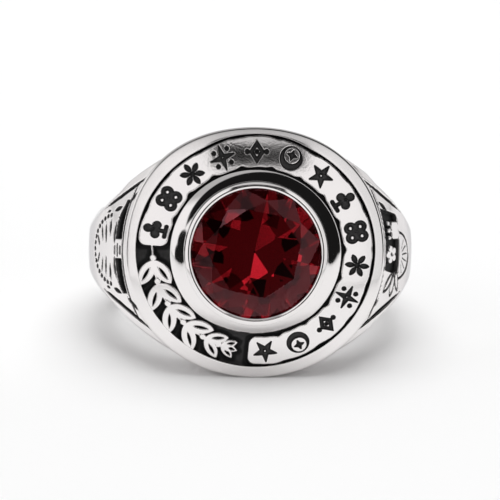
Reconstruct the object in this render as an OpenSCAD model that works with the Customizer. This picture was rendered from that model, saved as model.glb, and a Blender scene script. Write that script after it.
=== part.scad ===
// Officer ring in cast silver with a round faceted red stone, lying on its side.
// Lengths are in millimetres. In the ring's own frame the origin is the middle of
// the finger hole, Y runs along the finger and Z points out through the stone.

/* [Finger hole] */
// Radius of the finger hole
bore_r = 10; // [9.8:0.1:10.1]

/* [Hoop] */
// Outer radius of the hoop at the back of the finger
hoop_r = 12.1; // [11.9:0.1:12.3]
// Half width of the hoop at the back
back_half = 2.7; // [2.4:0.1:3]
// Half width of the hoop where the shoulders start to flare
neck_half = 3.2; // [3.1:0.05:3.3]
// Radius of the hoop's domed cross-section
hoop_dome_r = 6.4; // [6.2:0.2:8]

/* [Shoulders] */
// Outer radius of the shoulders
shoulder_r = 12.6; // [12.55:0.05:12.75]
// Radius of the shoulders' domed cross-section
shoulder_dome_r = 17; // [16:1:18]
// Radius of the flare from the hoop to the head
flare_r = 8.86; // [8.76:0.02:8.96]
// Width of the smooth rail beside each sunk panel
rail_w = 0.8; // [0.7:0.05:0.95]
// Depth of the sunk panels
panel_depth = 0.5; // [0.4:0.05:0.6]

/* [Head] */
// Half width of the head along the finger
head_r = 9.46; // [9.4:0.02:9.52]
// How much longer the head is across the finger than along it
head_stretch = 0.72; // [0.6:0.04:0.88]
// Radius of the head's domed top
head_dome_r = 24.7; // [24:0.1:26]
// Inner radius of the band of ornament
band_in_r = 6.3; // [6.25:0.05:6.4]
// Outer radius of the band of ornament
band_out_r = 8.72; // [8.66:0.02:8.76]
// Depth of the band's ground below the raised ornament
relief_h = 0.45; // [0.35:0.05:0.5]

/* [Stone] */
// Radius of the stone at its girdle
stone_r = 5; // [4.9:0.05:5.05]
// Radius of the stone's table
table_r = 3.65; // [3.4:0.05:3.75]
// Height of the crown above the girdle
crown_h = 0.9; // [0.8:0.05:1]
// Depth of the pavilion below the girdle
pavilion_h = 4.1; // [3.8:0.1:4.2]

/* [Hidden] */
$fn = 96;
far = 40;
girdle_z = 14.8;
girdle_h = 0.2;
table_z = girdle_z + girdle_h + crown_h;
girdle_steep = 1.25;
seat_gap = 0.03;
lip_in_r = stone_r - 0.15;
lip_w = 0.28;
lip_z = girdle_z + girdle_h + 0.36;
collar_z = lip_z - 0.16;
dome_z = lip_z - 1.02 - sqrt(pow(head_dome_r, 2) - pow(band_in_r, 2));
rim_r = 0.6;
rim_z = dome_z + sqrt(pow(head_dome_r, 2) - pow(head_r - rim_r, 2)) - 0.56;
wall_lean = 24;
wall_foot_z = 6.2;
shoulder_z = 3.8;
shoulder_top_z = 12.8;
flare_z = 5;
flank_r = 18.5;
flank_x = 2.68;
flank_y = 8.5;
panel_r = 5.8;
panel_z = 12.8;
bead_r = 0.17;
bead_ring_r = 3.1;
bead_ring_z = 10.6;
pads = 14;
pad_from = -84;
pad_to = 167;
pad_in_r = band_in_r + 0.12;
pad_out_r = band_out_r - 0.19;
pad_mid_r = (pad_in_r + pad_out_r) / 2;
pad_r = (pad_out_r - pad_in_r) / 2;
motif_r = pad_r - 0.28;
stretch = head_stretch / 2;
// The ring leans so that the rim of its head and the back of its hoop both touch down.
back_r = hoop_r - hoop_dome_r + sqrt(pow(hoop_dome_r, 2) - pow(back_half, 2));
lean_y = head_r - rim_r - back_half;
lean_z = rim_z + back_r;
lean = atan(lean_y / lean_z) + asin(rim_r / norm([lean_y, lean_z]));
lift = back_half * cos(lean) + back_r * sin(lean);
table_reach = table_r * sin(lean) + table_z * cos(lean);
back_reach = (hoop_r - hoop_dome_r) * cos(lean) + hoop_dome_r;
shift_y = (table_reach - back_reach) / 2;

// Puts a shape drawn in the ring's own frame where the ring lies.
module in_place() {
    translate([0, shift_y, lift]) rotate([90 - lean, 0, 0]) children();
}

module mirrored(axis) {
    children();
    mirror(axis) children();
}

// Turns a shape of revolution about Z so that its axis is the finger's.
module along_finger() {
    rotate([90, 0, 0]) children();
}

// Extrudes an outline, drawn along the finger and up through the stone, across the ring.
module across(from, to) {
    translate([from, 0, 0]) rotate([90, 0, 90]) linear_extrude(to - from) children();
}

// A leaf of the given length and width, pointing along X from the origin.
module leaf(length, width) {
    r = (pow(length, 2) + pow(width, 2)) / (4 * width);
    intersection() {
        translate([length / 2, r - width / 2]) circle(r);
        translate([length / 2, width / 2 - r]) circle(r);
    }
}

module star(points, outer, inner) {
    polygon([
        for (i = [0 : 2 * points - 1])
            let (r = i % 2 == 0 ? outer : inner, a = 90 + i * 180 / points)
            r * [cos(a), sin(a)]
    ]);
}

module foil(lobes, reach, r) {
    for (i = [0 : lobes - 1]) {
        rotate(90 + i * 360 / lobes) translate([reach, 0]) circle(r, $fn = 24);
    }
    circle(reach - r * 0.5, $fn = 24);
}

module crescent(r) {
    difference() {
        circle(r, $fn = 36);
        translate([0, r * 0.42]) circle(r * 0.72, $fn = 36);
    }
}

// One of seven plain motifs, cut through a pad.
module motif(kind) {
    if (kind == 0) star(5, motif_r, motif_r * 0.45);
    if (kind == 1) foil(4, motif_r * 0.58, motif_r * 0.4);
    if (kind == 2) star(4, motif_r, motif_r * 0.36);
    if (kind == 3) crescent(motif_r * 0.92);
    if (kind == 4) foil(3, motif_r * 0.55, motif_r * 0.42);
    if (kind == 5) star(6, motif_r, motif_r * 0.5);
    if (kind == 6) star(2, motif_r, motif_r * 0.55);
}

// A round outline pulled out to an oval.
module oval(r) {
    mirrored([1, 0]) translate([stretch, 0]) circle(r);
    square([2 * stretch, 2 * r], center = true);
}

// Places a shape at an angle round the middle of the ornament band, upright on the band.
module on_band(a) {
    translate([(pad_mid_r + stretch) * cos(a), pad_mid_r * sin(a)]) rotate(a) children();
}

// Row of joined pads, each with its motif cut through.
module pad_row() {
    turn = (pad_to - pad_from) / (pads - 1);
    difference() {
        union() {
            for (i = [0 : pads - 1]) {
                on_band(pad_from + i * turn) circle(pad_r, $fn = 36);
            }
            intersection() {
                difference() {
                    oval(pad_mid_r + pad_r * 0.6);
                    oval(pad_mid_r - pad_r * 0.6);
                }
                polygon([
                    [0, 0],
                    for (i = [0 : 6]) let (a = pad_from + i * (pad_to - pad_from) / 6) 14 * [cos(a), sin(a)]
                ]);
            }
        }
        for (i = [0 : pads - 1]) {
            on_band(pad_from + i * turn) rotate(-90) motif(i * 3 % 7);
        }
    }
}

// Laurel sprig along the rest of the band: leaves in pairs, with a berry at each pair.
module laurel() {
    for (a = [183 : 16 : 250]) {
        on_band(a) {
            rotate(90 - 33) leaf(2.1, 0.8);
            rotate(90 + 33) leaf(2.1, 0.8);
            rotate(90) translate([-0.35, 0]) circle(0.36, $fn = 24);
        }
    }
}

// Turns a half section about Z and pulls it out to the head's oval.
module oval_turned() {
    mirrored([1, 0, 0]) translate([stretch, 0, 0]) rotate([0, 0, -90])
        rotate_extrude(angle = 180) children();
    across(-stretch, stretch) mirrored([1, 0]) children();
}

module head_section() {
    foot_r = head_r - (rim_z - wall_foot_z) * tan(wall_lean);
    intersection() {
        translate([0, dome_z]) circle(head_dome_r, $fn = 240);
        union() {
            polygon([
                [0, wall_foot_z],
                [foot_r, wall_foot_z],
                [head_r - rim_r * (1 - cos(wall_lean)), rim_z - rim_r * sin(wall_lean)],
                [head_r - rim_r, rim_z],
                [head_r - rim_r, lip_z],
                [0, lip_z]
            ]);
            translate([head_r - rim_r, rim_z]) circle(rim_r);
        }
    }
}

module ornament_trough() {
    difference() {
        translate([band_in_r, rim_z]) square([band_out_r - band_in_r, lip_z - rim_z]);
        translate([0, dome_z]) circle(head_dome_r - relief_h, $fn = 240);
    }
}

// Domed head with its sunk band and the raised ornament in it.
module head() {
    oval_turned() difference() {
        head_section();
        ornament_trough();
    }
    intersection() {
        translate([0, 0, rim_z - 1]) linear_extrude(lip_z - rim_z + 1) {
            pad_row();
            laurel();
        }
        oval_turned() difference() {
            head_section();
            translate([0, dome_z - 0.5]) circle(head_dome_r - relief_h, $fn = 240);
        }
    }
}

// Sloping collar and the thin lip that holds the stone.
module collar() {
    rotate_extrude() {
        polygon([
            [0, rim_z],
            [band_in_r, rim_z],
            [band_in_r, lip_z - 1],
            [lip_in_r + lip_w, collar_z],
            [0, collar_z]
        ]);
        translate([lip_in_r, rim_z]) square([lip_w, lip_z - rim_z - lip_w / 2]);
        translate([lip_in_r + lip_w / 2, lip_z - lip_w / 2]) circle(lip_w / 2, $fn = 24);
    }
}

// Space for the stone: its outline with a little play, and open above.
module stone_seat() {
    rim = stone_r + seat_gap;
    lip_rise = (stone_r - lip_in_r) * tan(atan(crown_h / (stone_r - table_r)) * girdle_steep);
    rotate_extrude() polygon([
        [0, girdle_z - pavilion_h - seat_gap],
        [0.25, girdle_z - pavilion_h - seat_gap],
        [rim, girdle_z - seat_gap],
        [rim, girdle_z + girdle_h + seat_gap],
        [lip_in_r, girdle_z + girdle_h + lip_rise + seat_gap],
        [lip_in_r, lip_z + 1],
        [0, lip_z + 1]
    ]);
}

// A hoop with a domed cross-section.
module barrel(radius, dome, half) {
    along_finger() rotate_extrude() intersection() {
        translate([radius - dome, 0]) circle(dome);
        translate([0, -half]) square([radius + 1, 2 * half]);
    }
}

// Width of the band beside the finger: narrow at the back, flared to the head.
module side_outline() {
    difference() {
        polygon([
            [-back_half, -hoop_r - 1], [back_half, -hoop_r - 1], [back_half, -back_r],
            [neck_half, flare_z], [10, flare_z], [10, shoulder_top_z],
            [-10, shoulder_top_z], [-10, flare_z], [-neck_half, flare_z], [-back_half, -back_r]
        ]);
        mirrored([1, 0]) translate([neck_half + flare_r, flare_z]) circle(flare_r);
    }
}

// Outline of the whole band as seen in front of the stone.
module front_outline() {
    intersection() {
        translate([flank_x, flank_y]) circle(flank_r);
        translate([flank_x, -flank_y]) circle(flank_r);
        translate([-flank_x, flank_y]) circle(flank_r);
        translate([-flank_x, -flank_y]) circle(flank_r);
    }
}

// Sunk panel of a shoulder: a half round below the head, between the rails.
module panel_outline() {
    difference() {
        translate([0, panel_z]) circle(panel_r);
        mirrored([1, 0]) translate([neck_half + flare_r, flare_z]) circle(flare_r + rail_w);
    }
}

module shoulder_barrel(sink) {
    translate([0, 0, shoulder_z]) barrel(shoulder_r - sink, shoulder_dome_r, 9.5);
}

// Row of beads round the lower half of a panel.
module beads() {
    for (a = [-180 : 9 : 0]) {
        translate([0, bead_ring_z]) rotate(a) translate([bead_ring_r, 0]) circle(bead_r, $fn = 24);
    }
}

// Raised work of the left shoulder: a rosette on a disc between sprigs.
module left_relief() {
    translate([0, 9.2]) difference() {
        circle(1.35);
        foil(6, 0.66, 0.24);
    }
    translate([-0.5, 10.3]) square([1, 2.2]);
    mirrored([1, 0]) {
        translate([1.4, 9.7]) rotate(20) leaf(1.6, 0.55);
        translate([1.3, 8.9]) rotate(-5) leaf(1.3, 0.5);
        translate([3.5, 10.1]) rotate(50) leaf(2.2, 0.6);
    }
    beads();
}

// Raised work of the right shoulder: a boat-shaped shield with a star above, and scrolls.
module right_relief() {
    difference() {
        translate([-2.1, 8.7]) leaf(4.2, 1.5);
        translate([0, 8.7]) star(5, 0.48, 0.2);
    }
    translate([0, 10.15]) star(4, 0.75, 0.34);
    translate([-0.4, 10.6]) square([0.8, 1.8]);
    mirrored([1, 0]) {
        translate([1.75, 10.4]) difference() {
            circle(0.62, $fn = 36);
            circle(0.26, $fn = 24);
        }
        translate([3.4, 10]) rotate(52) leaf(2.2, 0.6);
    }
    beads();
}

// Hoop and shoulders with their sunk panels and the raised work in them.
module band() {
    difference() {
        intersection() {
            union() {
                barrel(hoop_r, hoop_dome_r, neck_half + 0.5);
                shoulder_barrel(0);
            }
            across(-far, far) side_outline();
            translate([0, 0, -far]) linear_extrude(2 * far) front_outline();
        }
        mirrored([1, 0, 0]) difference() {
            across(8, 14) panel_outline();
            shoulder_barrel(panel_depth);
        }
    }
    intersection() {
        union() {
            across(-13, -8) intersection() {
                left_relief();
                panel_outline();
            }
            across(8, 13) intersection() {
                right_relief();
                panel_outline();
            }
        }
        shoulder_barrel(0.08);
    }
}

module ring_body() {
    color("silver") in_place() difference() {
        union() {
            band();
            head();
            collar();
        }
        along_finger() cylinder(r = bore_r, h = far, center = true, $fn = 180);
        stone_seat();
    }
}

// Takes off all that lies beyond a facet, at its tilt from level and its turn about the stone.
module facet_cut(tilt, turn, reach) {
    rotate([0, tilt, turn]) translate([-far / 2, -far / 2, reach]) cube(far);
}

// Facet cuts through the ring of points at radius r and height h.
module facet_ring(count, turn, tilt, r, h) {
    for (i = [0 : count - 1]) {
        facet_cut(tilt, turn + i * 360 / count, r * sin(tilt) + h * cos(tilt));
    }
}

// Round brilliant: a table, a crown of three rows of facets, a girdle and a pavilion.
module stone() {
    main_tilt = atan(crown_h / (stone_r - table_r));
    pavilion_tilt = atan(pavilion_h / stone_r);
    chord = cos(360 / 32);
    color("firebrick") in_place() translate([0, 0, girdle_z]) difference() {
        translate([0, 0, -pavilion_h]) linear_extrude(pavilion_h + girdle_h + crown_h)
            polygon([for (i = [0 : 15]) stone_r * [cos(i * 22.5), sin(i * 22.5)]]);
        translate([0, 0, girdle_h]) {
            facet_ring(8, 0, main_tilt, stone_r, 0);
            facet_ring(8, 22.5, main_tilt * 0.62, table_r * cos(22.5), crown_h);
            facet_ring(16, 11.25, main_tilt * girdle_steep, stone_r * chord, 0);
        }
        mirror([0, 0, 1]) {
            facet_ring(8, 0, pavilion_tilt, stone_r, 0);
            facet_ring(16, 11.25, pavilion_tilt * 1.05, stone_r * chord, 0);
        }
    }
}

ring_body();
stone();
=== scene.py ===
"""Officer ring in blackened, polished cast silver with a round faceted red stone.

The ring lies on its side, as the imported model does. Each piece is worked out in the ring's
own frame, in millimetres: the origin is the middle of the finger hole, X runs across the head,
Y runs along the finger, and Z points out through the stone. RestingPose takes it to where the
ring lies. Angles round the head start at X and turn towards Y, which is up in the picture.
"""
import logging
import math
from dataclasses import dataclass
from enum import Enum

import bmesh
import bpy
import numpy as np
from mathutils import Matrix, Vector


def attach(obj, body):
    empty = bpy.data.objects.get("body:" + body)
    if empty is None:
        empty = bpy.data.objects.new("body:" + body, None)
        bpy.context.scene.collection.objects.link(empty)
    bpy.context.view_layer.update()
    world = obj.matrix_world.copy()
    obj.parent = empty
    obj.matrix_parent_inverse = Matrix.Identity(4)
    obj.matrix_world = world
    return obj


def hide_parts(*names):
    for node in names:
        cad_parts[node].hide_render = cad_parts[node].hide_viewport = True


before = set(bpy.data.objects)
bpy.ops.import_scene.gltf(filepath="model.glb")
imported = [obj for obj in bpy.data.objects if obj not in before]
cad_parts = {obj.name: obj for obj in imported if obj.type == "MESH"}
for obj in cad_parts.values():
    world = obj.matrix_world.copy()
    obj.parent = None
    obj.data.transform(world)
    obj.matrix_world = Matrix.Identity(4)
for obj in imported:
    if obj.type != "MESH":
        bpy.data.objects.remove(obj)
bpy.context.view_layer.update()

LOG = logging.getLogger("officer_ring")
MM = 0.001
TAU = 2 * math.pi
PICTURE_PX = 500

# A distance in mm that is past the reach of every shape.
FAR = 9.0

Array = np.ndarray
Nodes = bpy.types.NodeTree
Socket = bpy.types.NodeSocket
Pair = tuple[float, float]
Colour = tuple[float, float, float, float]
Corner = tuple[float, float, float]


@dataclass(frozen=True)
class RestingPose:
    """Where the ring lies: it leans on the rim of its head and on the back of its hoop."""

    lean: float = math.radians(15.501)
    shift_y: float = 2.202232
    lift: float = 5.675915

    def place(self, points: Array) -> Array:
        """Takes points from the ring's own frame, in mm, to the row frame, in metres.

        Args:
            points: places, with x, y and z along the last axis.

        Returns:
            The same places in the row frame.
        """
        x, y, z = points[..., 0], points[..., 1], points[..., 2]
        s, c = math.sin(self.lean), math.cos(self.lean)
        moved = [x, y * s - z * c + self.shift_y, y * c + z * s + self.lift]
        return np.stack(moved, -1) * MM


POSE = RestingPose()


# Outlines: each gives the distance from points to a flat shape, below zero inside it.


def disc(u: Array, v: Array, r: float) -> Array:
    """Distance to a disc about the origin."""
    return np.hypot(u, v) - r


def turned(u: Array, v: Array, at: Pair, degrees: float) -> tuple[Array, Array]:
    """Points as seen from a place whose first axis is turned.

    Args:
        u: first coordinates of the points.
        v: second coordinates of the points.
        at: the place.
        degrees: how far its first axis is turned.

    Returns:
        The two coordinates of each point, seen from there.
    """
    a = math.radians(degrees)
    du, dv = u - at[0], v - at[1]
    return du * math.cos(a) + dv * math.sin(a), dv * math.cos(a) - du * math.sin(a)


def leaf(u: Array, v: Array, length: float, width: float) -> Array:
    """Distance to a pointed leaf that runs from the origin along the first axis.

    Args:
        u: first coordinates of the points.
        v: second coordinates of the points.
        length: the leaf's length.
        width: its width in the middle.

    Returns:
        The distances.
    """
    r = (length**2 + width**2) / (4 * width)
    sides = [np.hypot(u - length / 2, v - side * (r - width / 2)) - r for side in (-1, 1)]
    return np.maximum(*sides)


def bar(u: Array, v: Array, start: Pair, end: Pair, half: float) -> Array:
    """Distance to a round-ended bar.

    Args:
        u: first coordinates of the points.
        v: second coordinates of the points.
        start: middle of one round end.
        end: middle of the other.
        half: half the bar's width.

    Returns:
        The distances.
    """
    du, dv = end[0] - start[0], end[1] - start[1]
    t = np.clip(((u - start[0]) * du + (v - start[1]) * dv) / (du * du + dv * dv), 0, 1)
    return np.hypot(u - start[0] - t * du, v - start[1] - t * dv) - half


def star(u: Array, v: Array, points: int, outer: float, inner: float) -> Array:
    """Distance to a star with a point along the second axis.

    Args:
        u: first coordinates of the points.
        v: second coordinates of the points.
        points: how many points the star has.
        outer: radius of its points.
        inner: radius of the corners between them.

    Returns:
        The distances.
    """
    step = TAU / points
    a = np.abs(np.mod(np.arctan2(v, u) - math.pi / 2 + step / 2, step) - step / 2)
    rho = np.hypot(u, v)
    x, y = rho * np.cos(a), rho * np.sin(a)
    bx, by = inner * math.cos(step / 2) - outer, inner * math.sin(step / 2)
    t = np.clip(((x - outer) * bx + y * by) / (bx * bx + by * by), 0, 1)
    away = np.hypot(x - outer - t * bx, y - t * by)
    return np.where((x - outer) * by - y * bx < 0, -away, away)


def foil(u: Array, v: Array, lobes: int, reach: float, r: float) -> Array:
    """Distance to a foil of round lobes about a small heart, one lobe along the second axis.

    Args:
        u: first coordinates of the points.
        v: second coordinates of the points.
        lobes: how many lobes it has.
        reach: how far their middles are from the origin.
        r: their radius.

    Returns:
        The distances.
    """
    d = disc(u, v, reach - r * 0.5)
    for i in range(lobes):
        a = math.pi / 2 + i * TAU / lobes
        d = np.minimum(d, disc(u - reach * math.cos(a), v - reach * math.sin(a), r))
    return d


def melt(a: Array, b: Array, soft: float) -> Array:
    """The lesser of two values, eased into each other over a soft span."""
    h = np.clip(0.5 + 0.5 * (b - a) / soft, 0, 1)
    return b * (1 - h) + a * h - soft * h * (1 - h)


def swell(a: Array, b: Array, soft: float) -> Array:
    """The greater of two values, eased into each other over a soft span."""
    return -melt(-a, -b, soft)


def stain(d: Array, soft: float = 0.16) -> Array:
    """How black a shape stains the metal: 1 well inside it, a half on its edge, 0 outside."""
    return np.clip(0.5 - d / soft, 0, 1)


def ease(value: Array, start: float | Array, end: float | Array) -> Array:
    """Goes smoothly from 0 at start to 1 at end."""
    t = np.clip((value - start) / (end - start), 0, 1)
    return t * t * (3 - 2 * t)


@dataclass(frozen=True)
class Squaring:
    """How the head's oval is squared outward between its four ends."""

    lower: float = 0.12
    upper: float = 0.1
    upper_left: float = 0.11
    soft: float = 0.3
    from_z: float = 10.2
    full_z: float = 12.8

    def growth(self, phi: Array, z: Array) -> Array:
        """How far the outline is moved out.

        Args:
            phi: angles round the head.
            z: heights, from the wall's foot to the rim.

        Returns:
            The growth in mm: none across and along the finger, and most at the upper left.
        """
        upper = ease(np.sin(phi), -self.soft, self.soft)
        left = ease(-np.cos(phi), -self.soft, self.soft)
        most = self.lower + self.upper * upper + self.upper_left * upper * left
        return most * np.sin(2 * phi) ** 2 * ease(z, self.from_z, self.full_z)


SQUARING = Squaring()


# Closed grids, bent round into rings, and each of their points moved to its place.

# How a line's points are spread: mm and radians of turn that cost as much as each other.
STEP_LENGTH = 0.22
STEP_TURN = 0.16
ARC_POINTS = 25
MOST_OF_SIDE = 0.48
NO_LENGTH = 1e-9


def bend_between(start: Array, corner: Array, end: Array, count: int) -> Array:
    """Points along the curve that leaves start towards the corner and comes from it to end.

    Args:
        start: places where the curve begins.
        corner: places it bends about.
        end: places where it ends.
        count: how many points, the two ends among them.

    Returns:
        An array of those points, with the points along the axis before the last.
    """
    t = np.linspace(0, 1, count)[:, None]
    start, corner, end = start[..., None, :], corner[..., None, :], end[..., None, :]
    return (1 - t) ** 2 * start + 2 * t * (1 - t) * corner + t**2 * end


def line_between(start: Array, end: Array, count: int, keep: slice) -> Array:
    """Points along the straight line from one row of places to another.

    Args:
        start: places where the lines begin.
        end: places where they end.
        count: how many points each line has.
        keep: which of them are wanted.

    Returns:
        An array of those points, with the points along the axis before the last.
    """
    t = np.linspace(0, 1, count)[None, keep, None]
    return start[:, None] * (1 - t) + end[:, None] * t


def rounded(corners: list[Corner], closed: bool) -> Array:
    """A line through corners, each bent in its own arc.

    Args:
        corners: radius, height and rounding of each corner.
        closed: whether the line goes back to its first corner.

    Returns:
        The line's points, as rows of radius and height.
    """
    p = np.array([c[:2] for c in corners], float)
    n = len(p)
    line = []
    for i, (_, _, rounding) in enumerate(corners):
        inner = closed or 0 < i < n - 1
        if not inner or rounding <= 0:
            line.append(p[i])
            continue
        before, after = p[i - 1] - p[i], p[(i + 1) % n] - p[i]
        span = min(np.hypot(*before), np.hypot(*after)) * MOST_OF_SIDE
        before, after = before / np.hypot(*before), after / np.hypot(*after)
        half = math.acos(float(np.clip(before @ after, -1, 1))) / 2
        reach = min(rounding / math.tan(half), span)
        r = reach * math.tan(half)
        middle = p[i] + (before + after) / np.hypot(*(before + after)) * r / math.sin(half)
        a, b = p[i] + before * reach - middle, p[i] + after * reach - middle
        sweep = math.pi - 2 * half
        for t in np.linspace(0, 1, ARC_POINTS):
            k = np.array([math.sin((1 - t) * sweep), math.sin(t * sweep)]) / math.sin(sweep)
            line.append(middle + k[0] * a + k[1] * b)
    if closed:
        line.append(line[0])
    return np.array(line)


def outline(corners: list[Corner], count: int, closed: bool = False) -> Array:
    """A line through rounded corners, its points crowded where it bends.

    Args:
        corners: radius, height and rounding of each corner.
        count: how many points to give back.
        closed: whether the line goes back to its first corner.

    Returns:
        The points, as rows of radius and height.
    """
    q = rounded(corners, closed)
    steps = np.diff(q, axis=0)
    lengths = np.hypot(*steps.T)
    apart = lengths > NO_LENGTH
    q, steps, lengths = q[np.r_[True, apart]], steps[apart], lengths[apart]
    heading = np.unwrap(np.arctan2(steps[:, 1], steps[:, 0]))
    turn = np.abs(np.diff(heading, prepend=heading[0], append=heading[-1]))
    weight = lengths / STEP_LENGTH + (turn[:-1] + turn[1:]) / 2 / STEP_TURN
    run = np.r_[0, np.cumsum(weight)]
    at = np.linspace(0, run[-1], count + 1)[:-1] if closed else np.linspace(0, run[-1], count)
    return np.stack([np.interp(at, run, q[:, 0]), np.interp(at, run, q[:, 1])], -1)


def wreath(name: str, rows: Array, patina_and_shade: Array) -> bpy.types.Object:
    """Bends a grid round into a closed ring and moves each of its points to its place.

    Args:
        name: the piece's name.
        rows: places in the ring's own frame, by turn and by way round the section.
        patina_and_shade: how black each place is, from 0 to 1: the silver's own blackening, and on
            the band also a painted shade where it meets the head's wall.

    Returns:
        The piece, riding on the model's one body.
    """
    around, section = rows.shape[:2]
    bm = bmesh.new()
    bmesh.ops.create_grid(bm, x_segments=around, y_segments=section, size=1.0)
    co = (np.array([v.co for v in bm.verts])[:, :2] + 1) / 2
    turn, way = np.rint(co * (around, section)).astype(int).T
    seam = (turn % around == 0) | (way % section == 0)
    for v, place in zip(bm.verts, POSE.place(rows)[turn % around, way % section]):
        v.co = place
    layer = bm.verts.layers.float.new("patina_and_shade")
    for v, value in zip(bm.verts, patina_and_shade[turn % around, way % section]):
        v[layer] = value
    edge = [v for v, on_seam in zip(bm.verts, seam) if on_seam]
    bmesh.ops.remove_doubles(bm, verts=edge, dist=NO_LENGTH)
    return finished_piece(name, bm, True)


def finished_piece(name: str, bm: bmesh.types.BMesh, smooth: bool) -> bpy.types.Object:
    """Makes an object of a bmesh whose points are at their places in the row frame.

    Args:
        name: the piece's name.
        bm: its mesh, which is freed.
        smooth: whether its faces are shaded smooth.

    Returns:
        The piece, riding on the model's one body.
    """
    bmesh.ops.recalc_face_normals(bm, faces=bm.faces)
    mesh = bpy.data.meshes.new(name)
    bm.to_mesh(mesh)
    bm.free()
    mesh.polygons.foreach_set("use_smooth", [smooth] * len(mesh.polygons))
    mesh.update()
    piece = bpy.data.objects.new(name, mesh)
    bpy.context.scene.collection.objects.link(piece)
    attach(piece, "root")
    return piece


# Nodes


def add_node(tree: Nodes, kind: str, **values: object) -> bpy.types.Node:
    """Adds a node and sets its properties, or its sockets where they are named so.

    Args:
        tree: the node tree.
        kind: the node's type.
        values: property names, or socket names with spaces as underscores.

    Returns:
        The node.
    """
    node = tree.nodes.new(kind)
    for key, value in values.items():
        if hasattr(node, key):
            setattr(node, key, value)
        else:
            node.inputs[key.replace("_", " ")].default_value = value
    return node


def add_noise(tree: Nodes, place: Socket, **values: float) -> Socket:
    """Adds a noise.

    Args:
        tree: the node tree.
        place: the coordinates that it reads.
        values: its scale, detail and roughness.

    Returns:
        The noise, from 0 to 1.
    """
    node = add_node(tree, "ShaderNodeTexNoise", **values)
    tree.links.new(place, node.inputs["Vector"])
    return node.outputs["Fac"]


def add_range(tree: Nodes, value: Socket, **values: object) -> Socket:
    """Adds a map range.

    Args:
        tree: the node tree.
        value: what it maps.
        values: its ends and how it goes between them.

    Returns:
        The mapped value.
    """
    node = add_node(tree, "ShaderNodeMapRange", **values)
    tree.links.new(value, node.inputs["Value"])
    return node.outputs["Result"]


def add_mix(
    tree: Nodes,
    factor: Socket,
    first: Socket | Colour | float,
    second: Socket | Colour | float,
    kind: str = "RGBA",
) -> Socket:
    """Adds a mix of two colours or numbers, each a socket or a plain value.

    Args:
        tree: the node tree.
        factor: how much of the second is in it.
        first: what it is where the factor is 0.
        second: what it is where the factor is 1.
        kind: RGBA for colours, FLOAT for numbers.

    Returns:
        The mix.
    """
    node = add_node(tree, "ShaderNodeMix", data_type=kind)
    for name, value in (("Factor", factor), ("A", first), ("B", second)):
        if isinstance(value, Socket):
            tree.links.new(value, node.inputs[name])
        else:
            node.inputs[name].default_value = value
    return node.outputs["Result"]


# Finishes


class Coat(Enum):
    """How a silver surface was finished: its least and greatest roughness, and its grain."""

    POLISHED = (0.04, 0.08, 0.015)
    SATIN = (0.1, 0.17, 0.05)
    CAST = (0.08, 0.15, 0.16)


@dataclass(frozen=True)
class SilverFinish:
    """Silver, blackened where the patina attribute says so: the silver's own blackening, and a
    painted shade along the band's joint with the head's wall.
    """

    name: str
    coat: Coat
    silver: Colour = (0.86, 0.835, 0.83, 1)
    edge_tint: Colour = (0.72, 0.72, 0.73, 1)
    black: Colour = (0.008, 0.008, 0.008, 1)
    dark_soot: Colour = (0.012, 0.012, 0.012, 1)
    pale_soot: Colour = (0.095, 0.092, 0.092, 1)
    soot_roughness: float = 0.5
    raggedness: float = 0.2
    grain_height: float = 0.00002

    def blackening(self, tree: Nodes, place: Socket, patina_and_shade: Socket) -> Socket:
        """Where the metal is black, with a ragged edge.

        Args:
            tree: the node tree.
            place: the piece's own coordinates.
            patina_and_shade: the piece's patina attribute.

        Returns:
            A value from 0, bare, to 1, black.
        """
        grit = add_noise(tree, place, Scale=9000.0, Detail=3.0, Roughness=0.6)
        ragged = add_node(tree, "ShaderNodeMath", operation="MULTIPLY_ADD")
        ragged.inputs[1].default_value = self.raggedness
        tree.links.new(grit, ragged.inputs[0])
        tree.links.new(patina_and_shade, ragged.inputs[2])
        steep = {"From_Min": 0.35, "From_Max": 0.62, "interpolation_type": "SMOOTHSTEP"}
        return add_range(tree, ragged.outputs[0], **steep)

    def colour(self, tree: Nodes, place: Socket, patina_and_shade: Socket, shade: Socket) -> Socket:
        """The metal's colour: bare silver, mottled grey soot, and full black where it is deep.

        Args:
            tree: the node tree.
            place: the piece's own coordinates.
            patina_and_shade: the piece's patina attribute.
            shade: where the metal is black.

        Returns:
            The colour.
        """
        mottle = add_noise(tree, place, Scale=2600.0, Detail=4.0, Roughness=0.65)
        grey = add_mix(tree, mottle, self.dark_soot, self.pale_soot)
        deep = add_range(tree, patina_and_shade, From_Min=0.65, From_Max=0.95)
        return add_mix(tree, shade, self.silver, add_mix(tree, deep, grey, self.black))

    def material(self) -> bpy.types.Material:
        """Builds the material.

        Returns:
            The material.
        """
        made = bpy.data.materials.new(self.name)
        made.use_nodes = True
        tree = made.node_tree
        link = tree.links.new
        shader = tree.nodes["Principled BSDF"]
        shader.inputs["Specular Tint"].default_value = self.edge_tint
        place = add_node(tree, "ShaderNodeTexCoord").outputs["Object"]
        patina_and_shade = add_node(tree, "ShaderNodeAttribute", attribute_name="patina_and_shade").outputs["Fac"]
        shade = self.blackening(tree, place, patina_and_shade)
        link(self.colour(tree, place, patina_and_shade, shade), shader.inputs["Base Color"])
        link(add_range(tree, shade, To_Min=1.0, To_Max=0.35), shader.inputs["Metallic"])
        link(add_range(tree, shade, To_Min=0.5, To_Max=0.25), shader.inputs["Specular IOR Level"])

        low, high, grain = self.coat.value
        cloudy = add_noise(tree, place, Scale=420.0, Detail=3.0)
        sheen = add_range(tree, cloudy, From_Min=0.3, From_Max=0.7, To_Min=low, To_Max=high)
        rough = add_mix(tree, shade, sheen, self.soot_roughness, "FLOAT")
        link(rough, shader.inputs["Roughness"])

        bump = add_node(tree, "ShaderNodeBump", Strength=grain, Distance=self.grain_height)
        link(add_noise(tree, place, Scale=5200.0, Detail=2.0), bump.inputs["Height"])
        link(bump.outputs["Normal"], shader.inputs["Normal"])
        return made


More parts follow.
